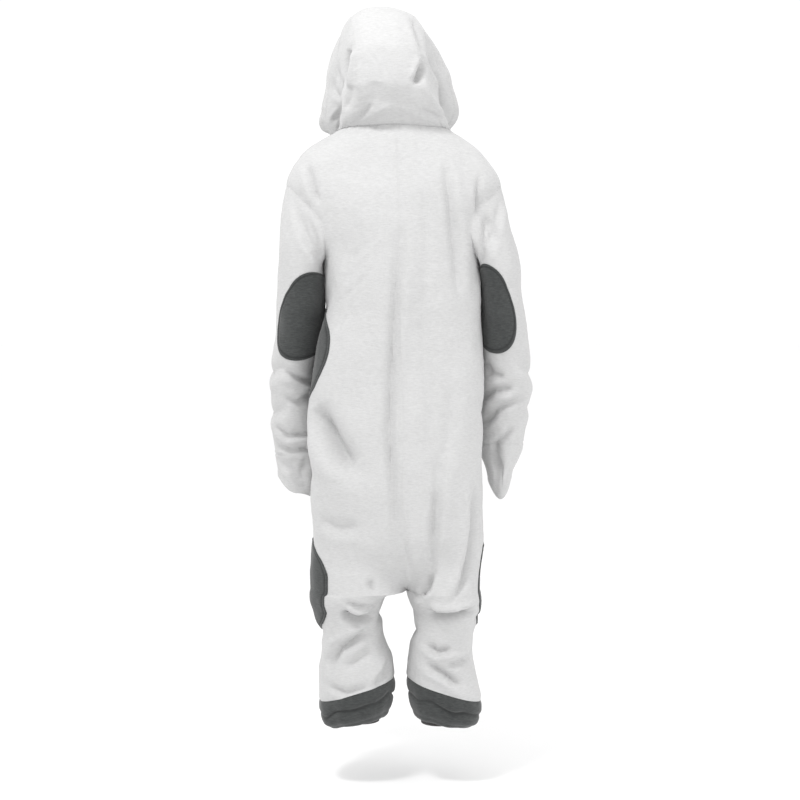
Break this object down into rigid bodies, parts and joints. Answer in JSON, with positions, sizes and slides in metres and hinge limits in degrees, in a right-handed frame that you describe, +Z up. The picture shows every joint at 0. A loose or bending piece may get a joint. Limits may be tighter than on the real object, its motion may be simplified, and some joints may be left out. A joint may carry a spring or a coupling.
{
  "type": "hooded fleece onesie",
  "caption": "Adult hooded fleece onesie in its worn, hollow form, with dropped sleeves, hand covers, a three-panel hood, oval patches and bloused leg cuffs.",
  "frame": {"origin": "between the shoulders at the base of the neck, where the wearer's shoulders hold the garment up", "axes": "+Z up along the garment, +X towards the garment's own left, so that it faces -Y and its back is +Y"},
  "size_m": [0.5726, 0.2972, 1.5605],
  "materials": {
    "fleece_white": "off-white brushed fleece with a fine sideways rib",
    "fleece_charcoal": "charcoal brushed fleece",
    "elastic_dark": "dark woven elastic",
    "button_plastic": "pale moulded plastic"
  },
  "bodies": {
    "root": {"back_left": "fleece_white", "back_right": "fleece_white", "front_left": "fleece_white", "front_right": "fleece_white", "sleeve_left": "fleece_white", "sleeve_right": "fleece_white", "hand_cover_left": "fleece_white", "hand_cover_right": "fleece_white", "hood_left": "fleece_white", "hood_right": "fleece_white", "hood_centre": "fleece_white", "placket": "fleece_white", "leg_cuff_left": "fleece_charcoal", "leg_cuff_right": "fleece_charcoal", "elbow_spot_left": "fleece_charcoal", "elbow_spot_right": "fleece_charcoal", "waist_spot_left": "fleece_charcoal", "knee_spot_left": "fleece_charcoal", "knee_spot_right": "fleece_charcoal", "ankle_band_left": "elastic_dark", "ankle_band_right": "elastic_dark", "button_1": "button_plastic", "button_2": "button_plastic", "button_3": "button_plastic", "button_4": "button_plastic", "button_5": "button_plastic", "button_6": "button_plastic"}
  },
  "joints": []
}
